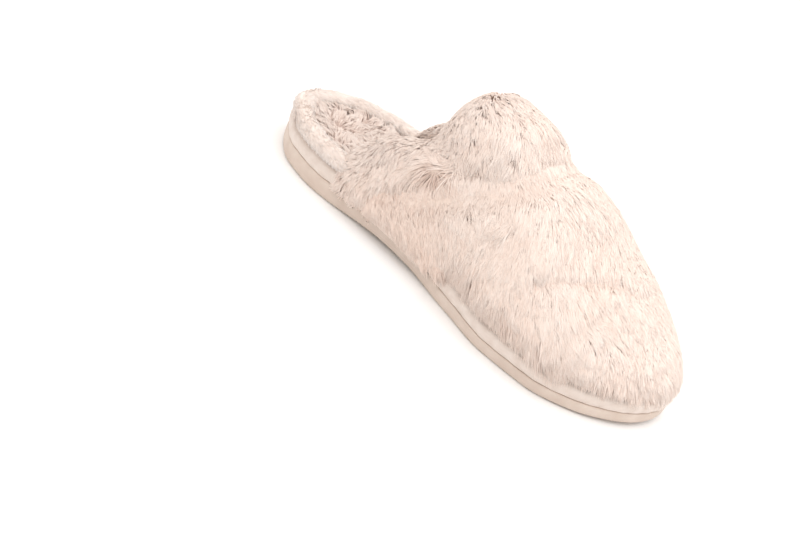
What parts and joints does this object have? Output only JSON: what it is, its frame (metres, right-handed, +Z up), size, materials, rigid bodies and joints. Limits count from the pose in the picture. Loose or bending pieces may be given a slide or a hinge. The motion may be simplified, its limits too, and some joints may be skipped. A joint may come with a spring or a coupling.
{
  "type": "faux fur slipper",
  "caption": "Left faux fur slipper, closed toe and open heel, deep pile over a hollow cloth upper on a flat two-layer sole.",
  "frame": {"origin": "bottom centre of the shoe's box, on the floor under its middle", "axes": "+X from heel to toe along the shoe's longest extent, +Y to the wearer's outer side, +Z up"},
  "size_m": [0.2594, 0.1136, 0.0963],
  "materials": {
    "outsole_foam": "smooth matte moulded foam rubber in beige",
    "plush_band": "short brushed plush, wrapped tight round the platform",
    "insole_fur": "short faux fur pile, pressed flat in the middle",
    "rim_plush": "soft plush roll",
    "backing_cloth": "knitted backing with short lining pile",
    "fur_pile": "deep soft faux fur, pale blush, nap toward the toe"
  },
  "bodies": {
    "root": {"outsole": "outsole_foam", "midsole": "plush_band", "footbed": "insole_fur", "heel_rim": "rim_plush", "upper": "backing_cloth", "vamp_fur": "fur_pile", "collar_cuff": "fur_pile"}
  },
  "joints": []
}
